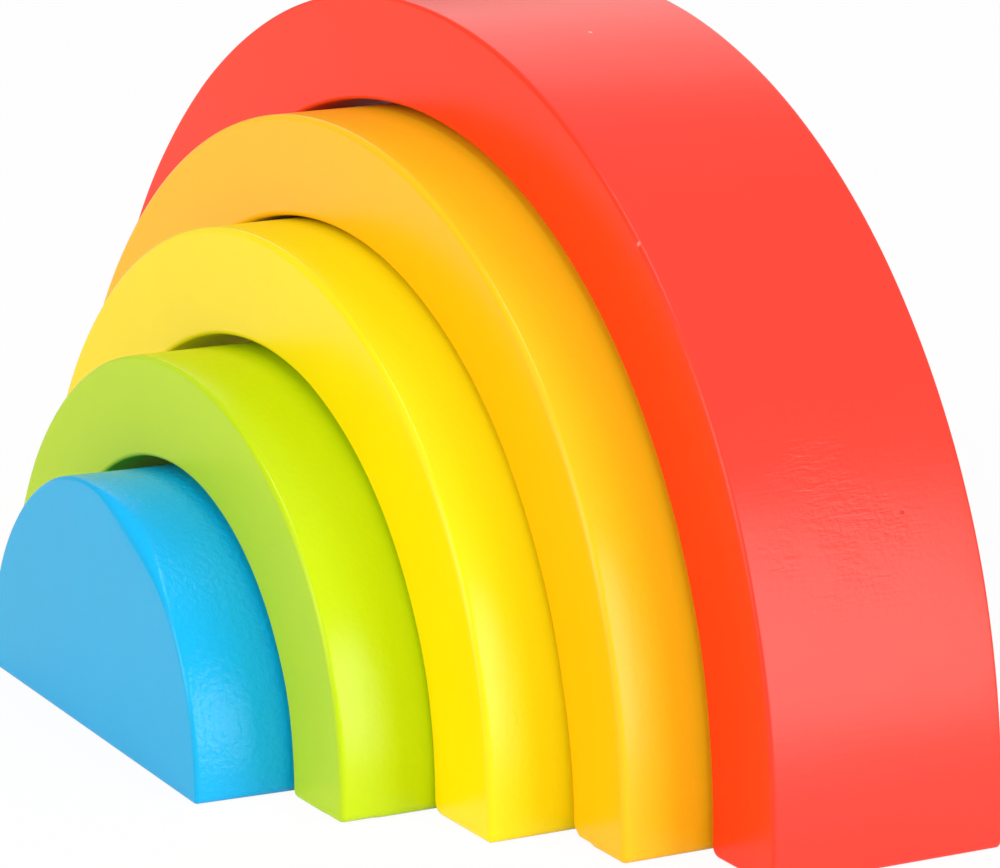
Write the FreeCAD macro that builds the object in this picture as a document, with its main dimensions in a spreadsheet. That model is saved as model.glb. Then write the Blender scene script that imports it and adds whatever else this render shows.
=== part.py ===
import FreeCAD, Part
import math
import os

import Sketcher

# A five-piece wooden rainbow stacker, in millimetres. A solid half disc stands inside four
# half-ring arches, each nested loosely in the next larger one. All five are cut to one depth
# and stand on the same surface. They are set out in steps, the half disc furthest forward.
#
# Row frame: +Z up with the floor at z = 0, X along the span of the arches, and every front
# face towards -Y. The origin is at floor level, in the middle of the whole footprint.

# ---------------------------------------------------------------- driving dimensions

DIMENSIONS = [
    # alias, value, what it is
    ("depth", 34.5, "thickness of the board that all five pieces are cut from"),
    ("edge_round", 0.6, "round sanded along every front and back edge"),
    ("outer_foot_round", 1.0, "round at the outer corner of every foot"),
    ("blue_radius", 34.25, "radius of the half disc in the middle"),
    ("green_gap", 1.5, "saw gap between the half disc and the green arch"),
    ("green_wall", 13.5, "radial thickness of the green arch"),
    ("green_foot_round", 1.0, "round at the inner corner of each green foot"),
    ("green_step", 11.7, "how far the green front stands behind the blue front"),
    ("green_clearance", 0.3, "what green leaves to the yellow arch on its +X side"),
    ("yellow_gap", 1.3, "saw gap between the green and yellow arches"),
    ("yellow_wall", 14.6, "radial thickness of the yellow arch"),
    ("yellow_foot_round", 1.8, "round at the inner corner of each yellow foot"),
    ("yellow_step", 13.0, "how far the yellow front stands behind the green front"),
    ("yellow_clearance", 0.5, "what yellow leaves to the orange arch on its -X side"),
    ("orange_gap", 0.5, "saw gap between the yellow and orange arches"),
    ("orange_wall", 13.8, "radial thickness of the orange arch"),
    ("orange_foot_round", 1.8, "round at the inner corner of each orange foot"),
    ("orange_step", 11.1, "how far the orange front stands behind the yellow front"),
    ("orange_clearance", 0.95, "what orange leaves to the red arch on its -X side"),
    ("red_gap", 1.15, "saw gap between the orange and red arches"),
    ("red_wall", 14.4, "radial thickness of the red arch"),
    ("red_foot_round", 1.5, "round at the inner corner of each red foot"),
    ("red_step", 12.0, "how far the red front stands behind the orange front"),
    ("blue_slack", 0.15, "how far blue is set down towards -X of the green arch"),
    ("turn_gap", 0.2, "what the turned half disc leaves to the green wall at its back corner"),
]

ARCHES = ["green", "yellow", "orange", "red"]

doc = FreeCAD.newDocument("RainbowStacker")
sheet = doc.addObject("Spreadsheet::Sheet", "Sizes")
for row, (alias, value, meaning) in enumerate(DIMENSIONS, start=1):
    sheet.set(f"A{row}", meaning)
    sheet.set(f"B{row}", str(value))
    sheet.setAlias(f"B{row}", alias)
doc.recompute()


# ---------------------------------------------------------------- sizes worked out from them

def inner_radius(colour):
    """Radius of an arch's tunnel: the piece inside it plus the saw gap."""
    index = ARCHES.index(colour)
    inside = outer_radius(ARCHES[index - 1]) if index else "Sizes.blue_radius"
    return f"{inside} + Sizes.{colour}_gap"


def outer_radius(colour):
    return f"{inner_radius(colour)} + Sizes.{colour}_wall"


def front_offset(colour):
    """How far a piece's front face stands behind the front of the half disc."""
    passed = ARCHES[:ARCHES.index(colour) + 1] if colour in ARCHES else []
    return " + ".join(["0"] + [f"Sizes.{name}_step" for name in passed])


def side_offset(colour):
    """How far a piece is set down towards +X of the red arch, which stands in the middle.

    Orange and yellow lie towards the -X wall of the arch around them, and green lies towards
    the +X wall. Each goes as far as its saw gap lets it, less the clearance it keeps there.
    """
    if colour == "red":
        return "0"
    if colour == "blue":
        return f"{side_offset('green')} - Sizes.blue_slack"
    around = ARCHES[ARCHES.index(colour) + 1]
    sign = "+" if colour == "green" else "-"
    return f"{side_offset(around)} {sign} (Sizes.{around}_gap - Sizes.{colour}_clearance)"


# The half disc is turned about its front centre until its back corner almost meets the green
# wall. A corner at (radius, depth) turned by T reaches radius*cos T + depth*sin T sideways,
# and that equals the reach allowed here at T = atan2(depth, radius) - acos(reach / diagonal).
REACH = f"{inner_radius('green')} + Sizes.blue_slack - Sizes.turn_gap"
DIAGONAL = "hypot(Sizes.depth; Sizes.blue_radius)"
BLUE_TURN = f"atan2(Sizes.depth; Sizes.blue_radius) - acos(({REACH}) / {DIAGONAL})"

# The footprint runs from the half disc's leading rounded corner to the back of the red arch,
# and the origin is half way between the two.
LEADING = (f"(Sizes.blue_radius - Sizes.edge_round) * sin({BLUE_TURN})"
           f" + Sizes.edge_round * (1 - cos({BLUE_TURN}))")
TRAILING = f"{front_offset('red')} + Sizes.depth"
FRONT_Y = f"({LEADING} - ({TRAILING})) / 2"


# ---------------------------------------------------------------- features

def origin_plane(body, role):
    return next(feature for feature in body.Origin.OriginFeatures if feature.Role == role)


def half_round_sketch(body, outer, inner=None):
    """A half disc, or a half ring with two feet, drawn with its centre on the floor line."""
    sketch = body.newObject("Sketcher::SketchObject", f"{body.Name}_outline")
    sketch.AttachmentSupport = [(origin_plane(body, "XZ_Plane"), "")]
    sketch.MapMode = "FlatFace"
    radii = [("OuterRadius", outer)] + ([("InnerRadius", inner)] if inner else [])
    arcs = []
    for label, expression in radii:
        radius = 20.0 if label == "InnerRadius" else 30.0
        circle = Part.Circle(FreeCAD.Vector(0, 0, 0), FreeCAD.Vector(0, 0, 1), radius)
        arc = sketch.addGeometry(Part.ArcOfCircle(circle, 0, math.pi), False)
        sketch.addConstraint(Sketcher.Constraint("Coincident", arc, 3, -1, 1))
        sketch.addConstraint(Sketcher.Constraint("PointOnObject", arc, 1, -1))
        sketch.addConstraint(Sketcher.Constraint("PointOnObject", arc, 2, -1))
        size = sketch.addConstraint(Sketcher.Constraint("Radius", arc, radius))
        sketch.renameConstraint(size, label)
        sketch.setExpression(f"Constraints.{label}", expression)
        arcs.append((arc, radius))
    # The floor line closes the half disc from end to end. A half ring has one at each foot.
    if inner:
        (outer_arc, far), (inner_arc, near) = arcs
        feet = [((near, inner_arc, 1), (far, outer_arc, 1)), ((-near, inner_arc, 2), (-far, outer_arc, 2))]
    else:
        ((outer_arc, far),) = arcs
        feet = [((-far, outer_arc, 2), (far, outer_arc, 1))]
    for (start_x, start_arc, start_end), (stop_x, stop_arc, stop_end) in feet:
        ends = FreeCAD.Vector(start_x, 0, 0), FreeCAD.Vector(stop_x, 0, 0)
        line = sketch.addGeometry(Part.LineSegment(*ends), False)
        sketch.addConstraint(Sketcher.Constraint("Coincident", line, 1, start_arc, start_end))
        sketch.addConstraint(Sketcher.Constraint("Coincident", line, 2, stop_arc, stop_end))
    return sketch


def round_edges(body, name, radius, wanted):
    """Fillets the edges of the body's tip whose middle and direction suit `wanted`."""
    doc.recompute()
    base = body.Tip
    chosen = []
    for number, edge in enumerate(base.Shape.Edges, start=1):
        middle = edge.valueAt((edge.FirstParameter + edge.LastParameter) / 2)
        if wanted(edge, middle):
            chosen.append(f"Edge{number}")
    if not chosen:
        raise RuntimeError(f"{body.Label}: no edge to round for {name}")
    fillet = body.newObject("PartDesign::Fillet", f"{body.Name}_{name}")
    fillet.Base = (base, chosen)
    fillet.setExpression("Radius", radius)
    return fillet


def runs_along_depth(edge):
    ends = [vertex.Point for vertex in edge.Vertexes]
    return len(ends) == 2 and abs(ends[0].y - ends[1].y) > 0.99 * edge.Length


def make_piece(name, colour):
    """One wooden piece: the outline padded to the board's depth, then its edges rounded."""
    body = doc.addObject("PartDesign::Body", name)
    body.Label = name
    is_arch = colour in ARCHES
    outer = outer_radius(colour) if is_arch else "Sizes.blue_radius"
    sketch = half_round_sketch(body, outer, inner_radius(colour) if is_arch else None)
    pad = body.newObject("PartDesign::Pad", f"{name}_board")
    pad.Profile = sketch
    pad.Reversed = True    # the sketch faces -Y, and the piece lies behind its front face
    pad.setExpression("Length", "Sizes.depth")
    sketch.Visibility = False
    doc.recompute()

    half_span = max(vertex.Point.x for vertex in pad.Shape.Vertexes)
    if is_arch:
        round_edges(body, "inner_feet", f"Sizes.{colour}_foot_round",
                    lambda edge, middle: runs_along_depth(edge) and abs(middle.x) < half_span - 1e-3)
    round_edges(body, "outer_feet", "Sizes.outer_foot_round",
                lambda edge, middle: runs_along_depth(edge) and middle.z < 1e-6
                and abs(middle.x) > half_span - 1e-3)
    back = max(vertex.Point.y for vertex in pad.Shape.Vertexes)
    round_edges(body, "front_and_back", "Sizes.edge_round",
                lambda edge, middle: min(abs(middle.y), abs(middle.y - back)) < 1e-6)

    body.setExpression(".Placement.Base.x", side_offset(colour))
    body.setExpression(".Placement.Base.y", f"{FRONT_Y} + {front_offset(colour)}")
    doc.recompute()
    return body


blue = make_piece("blue_half_disc", "blue")
blue.Placement.Rotation = FreeCAD.Rotation(FreeCAD.Vector(0, 0, -1), 1)
blue.setExpression(".Placement.Rotation.Angle", BLUE_TURN)
pieces = [blue] + [make_piece(f"{colour}_arch", colour) for colour in ARCHES]
doc.recompute()

# ---------------------------------------------------------------- checks and files

for thing in doc.Objects:
    if "Invalid" in thing.State or "Error" in thing.State:
        raise RuntimeError(f"{thing.Label} failed to build: {thing.State}")
for piece in pieces:
    if piece.Shape.isNull() or not piece.Shape.isValid() or len(piece.Shape.Solids) != 1:
        raise RuntimeError(f"{piece.Label} is not one valid solid")

os.makedirs("parts", exist_ok=True)
for piece in pieces:
    piece.Shape.exportStep(f"parts/{piece.Label}.step")
    box = piece.Shape.optimalBoundingBox(False)
    print(f"{piece.Label:15s} x {box.XMin:8.3f} {box.XMax:8.3f}  y {box.YMin:8.3f} {box.YMax:8.3f}"
          f"  z {box.ZMin:7.3f} {box.ZMax:7.3f}  volume {piece.Shape.Volume / 1000:7.2f} cm3")
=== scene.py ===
from collections import namedtuple
import math

import bmesh
import bpy
from mathutils import Matrix, Vector, noise


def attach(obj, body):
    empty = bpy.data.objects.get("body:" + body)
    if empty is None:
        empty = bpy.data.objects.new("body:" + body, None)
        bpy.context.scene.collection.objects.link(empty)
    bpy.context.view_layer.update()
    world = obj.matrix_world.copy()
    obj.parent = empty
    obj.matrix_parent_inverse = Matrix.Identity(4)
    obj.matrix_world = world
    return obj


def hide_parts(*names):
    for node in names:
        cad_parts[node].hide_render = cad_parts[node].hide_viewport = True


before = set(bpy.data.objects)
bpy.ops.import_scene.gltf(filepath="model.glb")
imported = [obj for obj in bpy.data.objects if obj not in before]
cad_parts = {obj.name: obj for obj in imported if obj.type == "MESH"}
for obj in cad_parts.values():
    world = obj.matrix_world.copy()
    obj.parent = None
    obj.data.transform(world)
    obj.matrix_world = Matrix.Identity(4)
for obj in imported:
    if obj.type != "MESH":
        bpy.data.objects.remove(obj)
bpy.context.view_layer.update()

# A painted wooden rainbow stacker: a half disc and four arches of solid wood, sawn from one
# board, sanded by hand and finished in semi-gloss lacquer. Lengths are in metres, and a size
# written as a number of millimetres is multiplied by MM.
MM = 0.001
HAIR = 0.001 * MM        # closer together than this counts as touching


# ---------------------------------------------------------------- sizes shared by the pieces

CELL = 1.0 * MM          # how fine the finished surface is divided
MARGIN = 3.0 * MM        # the plain strip left beside every sharp edge, for its round
CORE = 10.0 * MM         # half disc only: the middle, which is closed with one flat face
ABOVE_FEET = 10.0 * MM   # a height that the rounds of the feet don't reach
EDGE_STEPS = 5           # facets in the round along an edge
FOOT_STEPS = 6           # facets in the round at a foot's corner
SANDING_REACH = 5.0 * MM     # how far in from an edge its sanding is felt
FACE_WAVES = 0.03 * MM       # how uneven a sanded face stays
FOOTING = 8.0 * MM           # the height over which those waves fade out at the feet
FLAT_FACE = "flat_face"      # the attribute that is 1 on the flat front and back


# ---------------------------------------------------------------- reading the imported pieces

class Blank:
    """What the joiner starts from: the size of one piece and where it was set down."""

    def __init__(self, node):
        points = [vertex.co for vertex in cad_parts[node].data.vertices]
        # The flat front tells which way the piece faces. Everything is measured squared up to it.
        facing = Vector((0, 0, 0))
        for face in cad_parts[node].data.polygons:
            if face.normal.y < -0.95 and abs(face.normal.z) < 0.05:
                facing += face.normal * face.area
        turn = Matrix.Rotation(math.atan2(facing.x, -facing.y), 4, "Z")
        square = [turn.inverted() @ point for point in points]
        left, right = min(p.x for p in square), max(p.x for p in square)
        near, far = min(p.y for p in square), max(p.y for p in square)
        middle = Vector(((left + right) / 2, near, 0))
        self.outer = max(p.z for p in square)
        self.inner = min(math.hypot(p.x - middle.x, p.z) for p in square if p.z > ABOVE_FEET)
        self.depth = far - near
        self.place = turn @ Matrix.Translation(middle)

    def on_side(self, angle, behind):
        """Where the curved side is, `angle` degrees up from the +X foot and `behind` the front."""
        up = math.radians(angle)
        return self.place @ Vector((self.outer * math.cos(up), behind, self.outer * math.sin(up)))


# ---------------------------------------------------------------- woodwork

def spaced(step, steps, length):
    """Where division number `step` falls: one margin at each end and even cells between."""
    if step in (0, steps):
        return length * step / steps
    return MARGIN + (step - 1) * (length - 2 * MARGIN) / (steps - 2)


def sawn_half_ring(inner, outer, depth):
    """A half ring standing on its feet, swept from the section of the board at one foot."""
    bm = bmesh.new()
    wall = outer - inner
    across = max(3, 2 + round((wall - 2 * MARGIN) / (1.5 * CELL)))
    deep = 2 + round((depth - 2 * MARGIN) / CELL)
    bmesh.ops.create_grid(bm, x_segments=across, y_segments=deep, size=0.5)
    for vertex in bm.verts:
        column, row = round((vertex.co.x + 0.5) * across), round((vertex.co.y + 0.5) * deep)
        vertex.co = Vector((inner + spaced(column, across, wall), spaced(row, deep, depth), 0))
    foot = MARGIN / outer
    around = round((math.pi - 2 * foot) * outer / CELL)
    swept = bm.verts[:] + bm.edges[:] + bm.faces[:]
    for angle, steps in ((foot, 1), (math.pi - 2 * foot, around), (foot, 1)):
        turned = bmesh.ops.spin(bm, geom=swept, axis=(0, -1, 0), angle=angle, steps=steps)
        swept = turned["geom_last"]
    bmesh.ops.recalc_face_normals(bm, faces=bm.faces)
    return bm


def close_core(bm, depth):
    """Makes a half disc of a half ring: its tunnel wall goes, and the hole is closed."""
    tunnel = [face for face in bm.faces if abs(face.normal.y) < 0.5
              and face.calc_center_median().xz.length < CORE + 0.1 * MM]
    bmesh.ops.delete(bm, geom=tunnel, context="FACES")
    floor = [edge for edge in bm.edges if edge.is_boundary
             and all(abs(vertex.co.z) < HAIR for vertex in edge.verts)]
    bmesh.ops.bridge_loops(bm, edges=floor)
    for y in (0, depth):
        rim = [edge for edge in bm.edges if edge.is_boundary
               and all(abs(vertex.co.y - y) < HAIR for vertex in edge.verts)]
        bmesh.ops.contextual_create(bm, geom=rim)
    bmesh.ops.recalc_face_normals(bm, faces=bm.faces)


def square_edges(bm):
    """The edges still as sawn, where two faces meet at more than a radian."""
    return [edge for edge in bm.edges if edge.is_manifold and edge.calc_face_angle() > 1.0]


def round_over(bm, edges, radius, segments):
    bmesh.ops.bevel(bm, geom=edges, offset=radius, offset_type="OFFSET", segments=segments,
                    profile=0.5, affect="EDGES", clamp_overlap=False, material=-1)


def round_feet(bm, reach, radius):
    """Rounds the two foot corners that run through the board at this distance from the middle."""
    corners = [edge for edge in square_edges(bm)
               if abs(edge.verts[0].co.y - edge.verts[1].co.y) > 0.1 * MM
               and abs(abs(edge.verts[0].co.x) - reach) < 0.01 * MM]
    round_over(bm, corners, radius, FOOT_STEPS)


def slid(distance, start, end, reach):
    """Slides what lies `start` from an edge to `end` from it, fading out at `reach`."""
    if distance >= reach:
        return distance
    if distance <= start:
        return distance * end / start
    return end + (distance - start) * (reach - end) / (reach - start)


def window(value, middle, spread):
    """1 at the middle, falling smoothly to 0 at `spread` away on either side."""
    share = max(0.0, 1 - abs(value - middle) / spread)
    return share * share * (3 - 2 * share)


def sand_edges(bm, blank, radius, heavy):
    """Varies the round along the front and back edges, as hand sanding does.

    Each of `heavy` is one heavily sanded stretch: the edge ("outer" or "inner"), the angle
    of its middle and its half length in degrees up from the +X foot, and the round there.
    """
    for vertex in bm.verts:
        x, y, z = vertex.co
        ring, angle = math.hypot(x, z), math.degrees(math.atan2(z, x))
        behind = y > blank.depth / 2
        into = blank.depth - y if behind else y
        from_outer, from_inner = blank.outer - ring, ring - blank.inner
        side = "outer" if from_outer < from_inner or blank.inner < CORE else "inner"
        inward = from_outer if side == "outer" else from_inner
        if inward >= SANDING_REACH or into >= SANDING_REACH:
            continue
        # The round drifts by about a fifth every 14 degrees, each of the four edges its own way.
        drift = noise.noise(Vector((angle / 14, 3.7 * behind, 9.1 * (side == "inner"))))
        wanted = radius * (1 + 0.22 * drift)
        if not behind:
            for edge, middle, spread, heavy_radius in heavy:
                if edge == side:
                    wanted += (heavy_radius - radius) * window(angle, middle, spread)
        inward = slid(inward, radius, wanted, SANDING_REACH)
        into = slid(into, radius, wanted, SANDING_REACH)
        new_ring = blank.outer - inward if side == "outer" else blank.inner + inward
        if z > HAIR:
            vertex.co.x, vertex.co.z = x * new_ring / ring, z * new_ring / ring
        else:
            vertex.co.x = math.copysign(new_ring, x)
        vertex.co.y = blank.depth - into if behind else into


def mark_faces(bm, blank, radius):
    """Writes 1 on the flat front and back, fading to 0 across the round beside them."""
    flat = bm.verts.layers.float.new(FLAT_FACE)
    for vertex in bm.verts:
        into = min(vertex.co.y, blank.depth - vertex.co.y)
        vertex[flat] = max(0.0, 1 - into / radius)


def dent(bm, place, reach, depth):
    """A knock: what lies within `reach` of the place is pushed in along its own normal."""
    for vertex in bm.verts:
        away = (vertex.co - place).length
        if away < reach:
            vertex.co -= vertex.normal * depth * (1 - away / reach)


def sand_faces(bm):
    """The slight unevenness that a sanded face keeps, fading out at the feet.

    Broad waves about 14 mm long carry shallower ones about 5 mm long.
    """
    moves = []
    for vertex in bm.verts:
        wave = noise.noise(vertex.co * 70) + 0.4 * noise.noise(vertex.co * 190)
        footing = min(1.0, max(0.0, vertex.co.z / FOOTING))
        moves.append(vertex.normal * wave * FACE_WAVES * footing)
    for vertex, move in zip(bm.verts, moves):
        vertex.co += move


def set_down(bm, name, blank, body, node, material):
    """Puts the shaped wood where it stands and hands it to the frame."""
    bm.transform(blank.place)
    bm.normal_update()
    mesh = bpy.data.meshes.new(name)
    bm.to_mesh(mesh)
    bm.free()
    mesh.shade_smooth()
    mesh.materials.append(material)
    piece = bpy.data.objects.new(name, mesh)
    bpy.context.scene.collection.objects.link(piece)
    even = piece.modifiers.new("even shading", "WEIGHTED_NORMAL")
    even.weight = 100
    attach(piece, body)
    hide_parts(node)


def sand(bm, blank, edge_radius, heavy):
    """Rounds the edges that are left, each a little unevenly, and sands the faces."""
    round_over(bm, square_edges(bm), edge_radius, EDGE_STEPS)
    sand_edges(bm, blank, edge_radius, heavy)
    mark_faces(bm, blank, edge_radius)
    bm.normal_update()
    sand_faces(bm)
    bm.normal_update()


def make_arch(colour, blank, material, edge_radius, foot_inner, foot_outer, heavy=(), knocks=()):
    """A half ring. `heavy` is as for sand_edges. A knock is a place, a reach and a depth."""
    bm = sawn_half_ring(blank.inner, blank.outer, blank.depth)
    round_feet(bm, blank.outer, foot_outer)
    round_feet(bm, blank.inner, foot_inner)
    sand(bm, blank, edge_radius, heavy)
    for place, reach, depth in knocks:
        dent(bm, blank.place.inverted() @ place, reach, depth)
    set_down(bm, f"{colour}_wooden_arch", blank, body=colour,
             node=f"{colour}_arch", material=material)


def make_half_disc(colour, blank, material, edge_radius, foot_outer, heavy=()):
    """A half ring with its middle closed, so it has no inner edge and no inner feet."""
    blank.inner = 0.0
    bm = sawn_half_ring(CORE, blank.outer, blank.depth)
    close_core(bm, blank.depth)
    round_feet(bm, blank.outer, foot_outer)
    sand(bm, blank, edge_radius, heavy)
    set_down(bm, f"{colour}_wooden_half_disc", blank, body=colour,
             node=f"{colour}_half_disc", material=material)


# ---------------------------------------------------------------- shared finishes

def new_group(name, inputs, outputs):
    """A node group with named sockets. Returns it with its input and output nodes."""
    group = bpy.data.node_groups.new(name, "ShaderNodeTree")
    for label, kind, value in inputs:
        socket = group.interface.new_socket(name=label, in_out="INPUT", socket_type=kind)
        if value is not None:
            socket.default_value = value
    for label, kind in outputs:
        group.interface.new_socket(name=label, in_out="OUTPUT", socket_type=kind)
    return group, group.nodes.new("NodeGroupInput"), group.nodes.new("NodeGroupOutput")


def add_node(tree, kind, settings=(), **inputs):
    """A node with its properties set and its sockets given a value or joined to a socket.

    An input is named in full with _ for a space, or by its number, as n0, n1 and so on.
    """
    made = tree.nodes.new(kind)
    for key, value in dict(settings).items():
        setattr(made, key, value)
    for key, value in inputs.items():
        numbered = key[0] == "n" and key[1:].isdigit()
        socket = made.inputs[int(key[1:]) if numbered else key.replace("_", " ")]
        if isinstance(value, bpy.types.NodeSocket):
            tree.links.new(value, socket)
        else:
            socket.default_value = value
    return made


def maths(tree, operation, first, second):
    return add_node(tree, "ShaderNodeMath", {"operation": operation}, n0=first, n1=second).outputs[0]


def both(tree, first, second):
    """Two heights laid one on the other."""
    return maths(tree, "ADD", first, second)


def share_of(tree, value, share):
    return maths(tree, "MULTIPLY", value, share)


def ramp(tree, value, low, high):
    """0 where the value is below `low`, 1 above `high`, smooth between."""
    made = add_node(tree, "ShaderNodeMapRange", {"interpolation_type": "SMOOTHSTEP", "clamp": True},
                    Value=value, From_Min=low, From_Max=high, To_Min=0.0, To_Max=1.0)
    return made.outputs["Result"]


def swing(tree, texture, amount):
    """A noise texture's value, made to swing evenly about 0. Its whole swing is the amount."""
    return share_of(tree, maths(tree, "SUBTRACT", texture.outputs["Fac"], 0.5), amount)


def build_orange_peel():
    """The fine pebbled skin of brushed lacquer. Sizes and heights are in millimetres."""
    group, given, out = new_group(
        "Orange peel",
        [("Vector", "NodeSocketVector", None), ("Size", "NodeSocketFloat", 1.2),
         ("Height", "NodeSocketFloat", 0.004)],
        [("Height", "NodeSocketFloat")])
    scale = maths(group, "DIVIDE", 1 / MM, given.outputs["Size"])
    pebbles = add_node(group, "ShaderNodeTexNoise", Vector=given.outputs["Vector"], Scale=scale,
                       Detail=2.5, Roughness=0.55)
    group.links.new(swing(group, pebbles, given.outputs["Height"]), out.inputs["Height"])
    return group


def build_raised_grain():
    """Fibres lifted by the first coat, running through the thickness of the board.

    Widths, lengths and heights are in millimetres.
    """
    group, given, out = new_group(
        "Raised grain",
        [("Vector", "NodeSocketVector", None), ("Width", "NodeSocketFloat", 0.5),
         ("Length", "NodeSocketFloat", 4.0), ("Height", "NodeSocketFloat", 0.01)],
        [("Height", "NodeSocketFloat")])
    thin = maths(group, "DIVIDE", 1 / MM, given.outputs["Width"])
    lengthways = maths(group, "DIVIDE", 1 / MM, given.outputs["Length"])
    scales = add_node(group, "ShaderNodeCombineXYZ", X=thin, Y=lengthways, Z=thin)
    stretched = add_node(group, "ShaderNodeVectorMath", {"operation": "MULTIPLY"},
                         n0=given.outputs["Vector"], n1=scales.outputs[0])
    fibres = add_node(group, "ShaderNodeTexNoise", Vector=stretched.outputs[0], Scale=1.0,
                      Detail=3.0, Roughness=0.6, Distortion=0.6)
    group.links.new(swing(group, fibres, given.outputs["Height"]), out.inputs["Height"])
    return group


def build_paint_tone():
    """Paint that lies a little thicker and thinner from place to place. On the flat front and back it
    is painted shade: a darker, deeper copy of the paint, because they take less light than the curved
    side.
    """
    group, given, out = new_group(
        "Paint tone",
        [("Vector", "NodeSocketVector", None), ("Paint", "NodeSocketColor", (0.5, 0.5, 0.5, 1)),
         ("Flat face paint", "NodeSocketColor", (0.5, 0.5, 0.5, 1)),
         ("Flat face", "NodeSocketFloat", 0.0), ("Unevenness", "NodeSocketFloat", 0.05)],
        [("Color", "NodeSocketColor")])
    face = add_node(group, "ShaderNodeMix", {"data_type": "RGBA"}, n0=given.outputs["Flat face"],
                    n6=given.outputs["Paint"], n7=given.outputs["Flat face paint"])
    clouds = add_node(group, "ShaderNodeTexNoise", Vector=given.outputs["Vector"], Scale=90.0,
                      Detail=3.0, Roughness=0.55)
    uneven = swing(group, clouds, given.outputs["Unevenness"])
    toned = add_node(group, "ShaderNodeVectorMath", {"operation": "SCALE"},
                     n0=face.outputs[2], Scale=maths(group, "ADD", 1.0, uneven))
    group.links.new(toned.outputs[0], out.inputs["Color"])
    return group


def build_patch():
    """An oval area at one place: 1 in its middle, falling to 0 at its rim. Radii in millimetres."""
    group, given, out = new_group(
        "Patch",
        [("Vector", "NodeSocketVector", None), ("Centre", "NodeSocketVector", (0, 0, 0)),
         ("Radii", "NodeSocketVector", (1, 1, 1)), ("Solid", "NodeSocketFloat", 0.3)],
        [("Mask", "NodeSocketFloat")])
    away = add_node(group, "ShaderNodeVectorMath", {"operation": "SUBTRACT"},
                    n0=given.outputs["Vector"], n1=given.outputs["Centre"])
    in_mm = add_node(group, "ShaderNodeVectorMath", {"operation": "SCALE"},
                     n0=away.outputs[0], Scale=1 / MM)
    shares = add_node(group, "ShaderNodeVectorMath", {"operation": "DIVIDE"},
                      n0=in_mm.outputs[0], n1=given.outputs["Radii"])
    share = add_node(group, "ShaderNodeVectorMath", {"operation": "LENGTH"}, n0=shares.outputs[0])
    faded = ramp(group, share.outputs["Value"], given.outputs["Solid"], 1.0)
    group.links.new(maths(group, "SUBTRACT", 1.0, faded), out.inputs["Mask"])
    return group


orange_peel = build_orange_peel()
raised_grain = build_raised_grain()
paint_tone = build_paint_tone()
patch = build_patch()

# A small mark in the lacquer. Its radii and height are in millimetres, and a pit's height is
# below 0.
Mark = namedtuple("Mark", "centre radii paint height")

# A place where the grain stands up through the lacquer. Its radii and height are in millimetres.
RoughPatch = namedtuple("RoughPatch", "centre radii height")

LACQUER_ROUGHNESS = 0.25     # semi-gloss
LACQUER_IOR = 1.33
FLAT_SMOOTHING = 0.85        # how much of its relief the lacquer loses on the flat faces


def place_group(tree, group, **inputs):
    return add_node(tree, "ShaderNodeGroup", {"node_tree": group}, **inputs)


def rough_relief(tree, place, rough):
    """Raised fibres and pimples inside a rough patch, broken up so that its rim isn't a line."""
    area = place_group(tree, patch, Vector=place, Centre=rough.centre, Radii=rough.radii, Solid=0.3)
    fibres = place_group(tree, raised_grain, Vector=place, Width=0.7, Length=3.5, Height=rough.height)
    pimples = place_group(tree, orange_peel, Vector=place, Size=0.9, Height=rough.height)
    skin = both(tree, fibres.outputs["Height"], share_of(tree, pimples.outputs["Height"], 0.6))
    clouds = add_node(tree, "ShaderNodeTexNoise", Vector=place, Scale=150.0, Detail=2.0)
    broken = share_of(tree, area.outputs["Mask"], ramp(tree, clouds.outputs["Fac"], 0.3, 0.6))
    return share_of(tree, broken, skin)


def painted_wood(name, paint, flat_shaded_paint, peel_height, peel_size=1.0, grain_height=0.003,
                 rough=None, marks=()):
    """Semi-gloss coloured lacquer on sanded wood, smoothest on the flat front and back.

    Paint colours are linear, and the skin's sizes and heights are in millimetres. The second paint
    colour is painted shade: a darker, deeper copy of the paint for the flat front and back, which
    take less light than the curved side.
    """
    material = bpy.data.materials.new(name)
    material.use_nodes = True
    tree = material.node_tree
    surface = tree.nodes["Principled BSDF"]
    place = add_node(tree, "ShaderNodeTexCoord").outputs["Object"]
    flat = add_node(tree, "ShaderNodeAttribute", {"attribute_name": FLAT_FACE}).outputs["Fac"]
    # Painted shade: the flat front and back get a darker, deeper copy of the paint.
    tone = place_group(tree, paint_tone, Vector=place, Paint=(*paint, 1),
                       Flat_face_paint=(*flat_shaded_paint, 1), Flat_face=flat, Unevenness=0.05)
    colour = tone.outputs["Color"]
    skin = place_group(tree, orange_peel, Vector=place, Size=peel_size, Height=peel_height)
    grain = place_group(tree, raised_grain, Vector=place, Width=0.5, Length=5.0, Height=grain_height)
    kept = maths(tree, "SUBTRACT", 1.0, share_of(tree, flat, FLAT_SMOOTHING))
    relief = share_of(tree, kept, both(tree, skin.outputs["Height"], grain.outputs["Height"]))
    if rough:
        relief = both(tree, relief, rough_relief(tree, place, rough))
    for mark in marks:
        spot = place_group(tree, patch, Vector=place, Centre=mark.centre, Radii=mark.radii,
                           Solid=0.4).outputs["Mask"]
        mixed = add_node(tree, "ShaderNodeMix", {"data_type": "RGBA"}, n0=spot,
                         n6=colour, n7=(*mark.paint, 1))
        colour = mixed.outputs[2]
        relief = both(tree, relief, share_of(tree, spot, mark.height))
    tree.links.new(colour, surface.inputs["Base Color"])
    bump = add_node(tree, "ShaderNodeBump", Strength=1.0, Distance=MM, Height=relief)
    tree.links.new(bump.outputs["Normal"], surface.inputs["Normal"])
    surface.inputs["Roughness"].default_value = LACQUER_ROUGHNESS
    surface.inputs["IOR"].default_value = LACQUER_IOR
    return material


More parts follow.
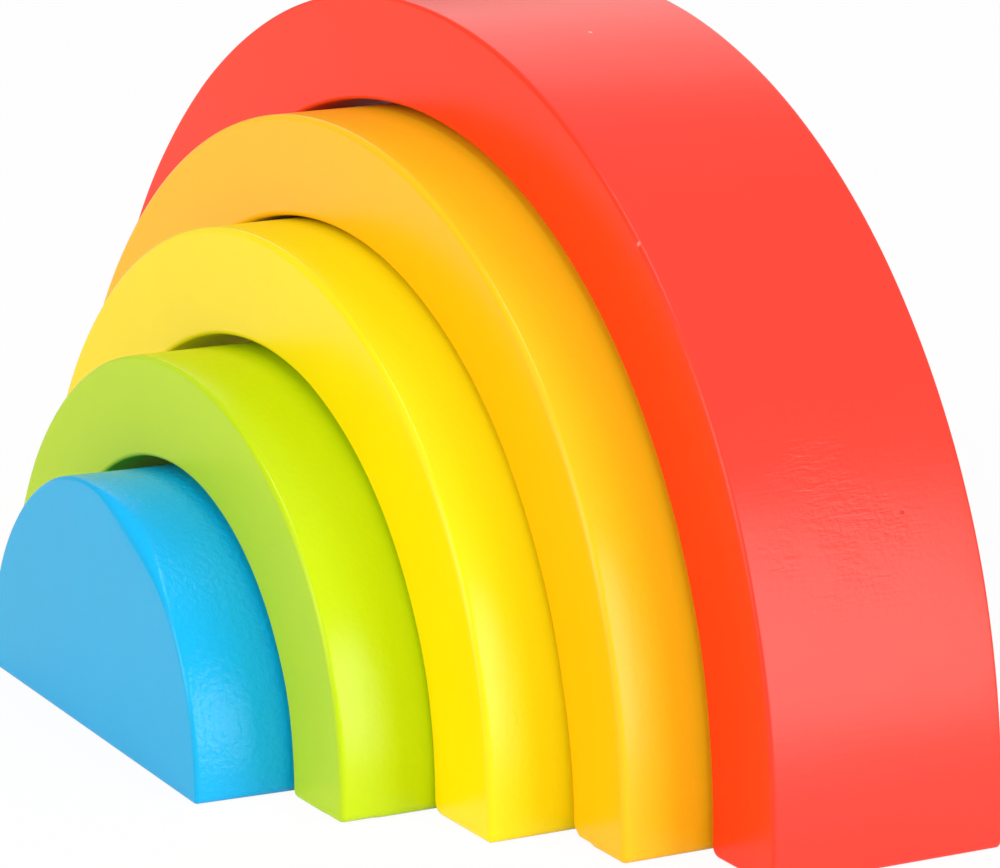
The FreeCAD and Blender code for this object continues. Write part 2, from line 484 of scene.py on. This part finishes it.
def linear(red, green, blue):
    """A paint colour given as screen values from 0 to 255, made linear."""
    def one(value):
        value /= 255
        return value / 12.92 if value <= 0.04045 else ((value + 0.055) / 1.055) ** 2.4
    return one(red), one(green), one(blue)


# ---------------------------------------------------------------- the five pieces

# Each piece's second paint colour is painted shade: a darker, deeper copy of its paint for the flat
# front and back.
def blue_piece():
    """The half disc, its front edge sanded well back near the top."""
    lacquer = painted_wood("blue_lacquer", linear(14, 180, 244), linear(0, 165, 214),
                           peel_height=0.13, peel_size=0.9)
    make_half_disc("blue", Blank("blue_half_disc"), lacquer, edge_radius=0.6 * MM,
                   foot_outer=1.1 * MM, heavy=[("outer", 67, 25, 2.2 * MM)])


def green_piece():
    """The smallest arch, its outer front edge a little softer near the +X foot."""
    lacquer = painted_wood("green_lacquer", linear(197, 225, 4), linear(180, 209, 3),
                           peel_height=0.03)
    make_arch("green", Blank("green_arch"), lacquer, edge_radius=0.6 * MM,
              foot_inner=1.0 * MM, foot_outer=1.2 * MM, heavy=[("outer", 0, 35, 0.9 * MM)])


def yellow_piece():
    lacquer = painted_wood("yellow_lacquer", linear(248, 227, 12), linear(248, 216, 2),
                           peel_height=0.03)
    make_arch("yellow", Blank("yellow_arch"), lacquer, edge_radius=0.8 * MM,
              foot_inner=1.8 * MM, foot_outer=1.0 * MM)


def orange_piece():
    """The second largest arch, its inner front edge sanded well back near the +X foot."""
    lacquer = painted_wood("orange_lacquer", linear(250, 203, 26), linear(250, 184, 4),
                           peel_height=0.03)
    make_arch("orange", Blank("orange_arch"), lacquer, edge_radius=0.8 * MM,
              foot_inner=1.8 * MM, foot_outer=1.0 * MM, heavy=[("inner", 0, 22, 2.2 * MM)])


def red_piece():
    """The largest arch, with a rough patch low on one side and three small flaws in its paint."""
    blank = Blank("red_arch")
    dark_speck = Mark(blank.on_side(26.9, 24.2 * MM), radii=(0.4, 0.45, 0.4),
                      paint=linear(205, 38, 34), height=-0.02)
    pinhole = Mark(blank.on_side(78.5, 16.5 * MM), radii=(0.4, 0.35, 0.4),
                   paint=linear(255, 170, 150), height=-0.02)
    knock = Mark(blank.on_side(51.7, 0.1 * MM), radii=(0.45, 0.45, 0.75),
                 paint=linear(255, 140, 118), height=0.0)
    rough = RoughPatch(blank.on_side(28.0, 14.5 * MM), radii=(20, 19, 20), height=0.075)
    lacquer = painted_wood("red_lacquer", linear(247, 65, 50), linear(246, 54, 18),
                           peel_height=0.02, grain_height=0.015, rough=rough,
                           marks=[dark_speck, pinhole, knock])
    make_arch("red", blank, lacquer, edge_radius=0.55 * MM,
              foot_inner=1.5 * MM, foot_outer=1.0 * MM,
              knocks=[(knock.centre, 1.2 * MM, 0.2 * MM)])


blue_piece()
green_piece()
yellow_piece()
orange_piece()
red_piece()


# ---------------------------------------------------------------- studio

MIDDLE = Vector((0, 0, 0.05))    # what the lamps point at, about the middle of the object
WORLD_STRENGTH = 0.40
FLOOR_SHARE_SEEN = 0.94          # how much of the table top the camera sees as plain white
FLOOR_SHARE_MIRRORED = 0.35      # and how much of it the lacquer mirrors as plain white

# Each lamp's name, where it stands, its width and height in metres, and its power in watts.
LAMPS = [
    ("side_strip", (1.16, 0.73, 0.42), 0.25, 0.8, 3.8),
    ("right_strip", (1.31, 0.48, 0.35), 0.3, 0.7, 3.6),
    ("right_softbox", (1.38, -0.19, 0.35), 0.7, 0.7, 1.3),
    ("corner_softbox", (0.61, -1.06, 0.76), 0.6, 0.6, 5.9),
    ("front_softbox", (0.0, -1.39, 0.35), 0.7, 0.7, 6.1),
    ("top_softbox", (0.25, 0.0, 1.45), 0.6, 0.6, 4.9),
    ("back_panel", (-1.1, 0.83, 0.87), 1.4, 0.9, 3.4),
]

# The camera stands to the right and in front, a little above the arches, and looks down on them.
CAMERA_PLACE = (0.641806, -0.353772, 0.230256)
CAMERA_TURN = 59.617      # degrees round from looking along +Y
CAMERA_DIP = -14.793      # degrees above level
CAMERA_ROLL = 1.2834      # degrees
CAMERA_LENS = 201.4       # millimetres
FRAME_WIDTH = 36.0        # millimetres


def softbox(name, place, width, height, watts):
    lamp = bpy.data.lights.new(name, "AREA")
    lamp.shape = "RECTANGLE"
    lamp.size, lamp.size_y, lamp.energy = width, height, watts
    stand = bpy.data.objects.new(name, lamp)
    stand.location = place
    stand.rotation_euler = (MIDDLE - stand.location).to_track_quat("-Z", "Y").to_euler()
    bpy.context.scene.collection.objects.link(stand)


def white_paper():
    """Matt paper that shows close to white, and still takes the light and shade of the lamps.

    What the lacquer mirrors keeps more of the shade, so the tunnels stay dark inside.
    """
    material = bpy.data.materials.new("white_paper")
    material.use_nodes = True
    tree = material.node_tree
    paper = tree.nodes["Principled BSDF"]
    paper.inputs["Base Color"].default_value = (0.95, 0.95, 0.95, 1)
    paper.inputs["Roughness"].default_value = 0.9
    paper.inputs["Specular IOR Level"].default_value = 0.1
    rays = add_node(tree, "ShaderNodeLightPath").outputs
    seen = share_of(tree, maths(tree, "MAXIMUM", rays["Is Camera Ray"], rays["Is Transmission Ray"]),
                    FLOOR_SHARE_SEEN)
    mirrored = share_of(tree, rays["Is Glossy Ray"], FLOOR_SHARE_MIRRORED)
    glow = add_node(tree, "ShaderNodeEmission", Color=(1, 1, 1, 1), Strength=1.0)
    mixed = add_node(tree, "ShaderNodeMixShader", n0=maths(tree, "MAXIMUM", seen, mirrored),
                     n1=paper.outputs[0], n2=glow.outputs[0])
    tree.links.new(mixed.outputs[0], tree.nodes["Material Output"].inputs["Surface"])
    return material


def studio_floor():
    """A table top 8 m across, so that its edges lie far from the object in every view."""
    bm = bmesh.new()
    bmesh.ops.create_grid(bm, x_segments=8, y_segments=8, size=4.0)
    mesh = bpy.data.meshes.new("table_top")
    bm.to_mesh(mesh)
    bm.free()
    mesh.materials.append(white_paper())
    floor = bpy.data.objects.new("table_top", mesh)
    bpy.context.scene.collection.objects.link(floor)


def studio_light():
    world = bpy.data.worlds.new("studio")
    bpy.context.scene.world = world
    world.use_nodes = True
    background = world.node_tree.nodes["Background"]
    background.inputs["Color"].default_value = (1, 1, 1, 1)
    background.inputs["Strength"].default_value = WORLD_STRENGTH
    for lamp in LAMPS:
        softbox(*lamp)


def studio_camera():
    camera = bpy.data.cameras.new("camera")
    camera.sensor_width = FRAME_WIDTH
    camera.lens = CAMERA_LENS
    camera.clip_start = 0.05
    tripod = bpy.data.objects.new("camera", camera)
    bpy.context.scene.collection.objects.link(tripod)
    tripod.matrix_world = (
        Matrix.Translation(CAMERA_PLACE)
        @ Matrix.Rotation(math.radians(CAMERA_TURN), 4, "Z")
        @ Matrix.Rotation(math.radians(90 + CAMERA_DIP), 4, "X")
        @ Matrix.Rotation(math.radians(CAMERA_ROLL), 4, "Z"))
    bpy.context.scene.camera = tripod


studio_floor()
studio_light()
studio_camera()
bpy.context.scene.view_settings.view_transform = "Standard"
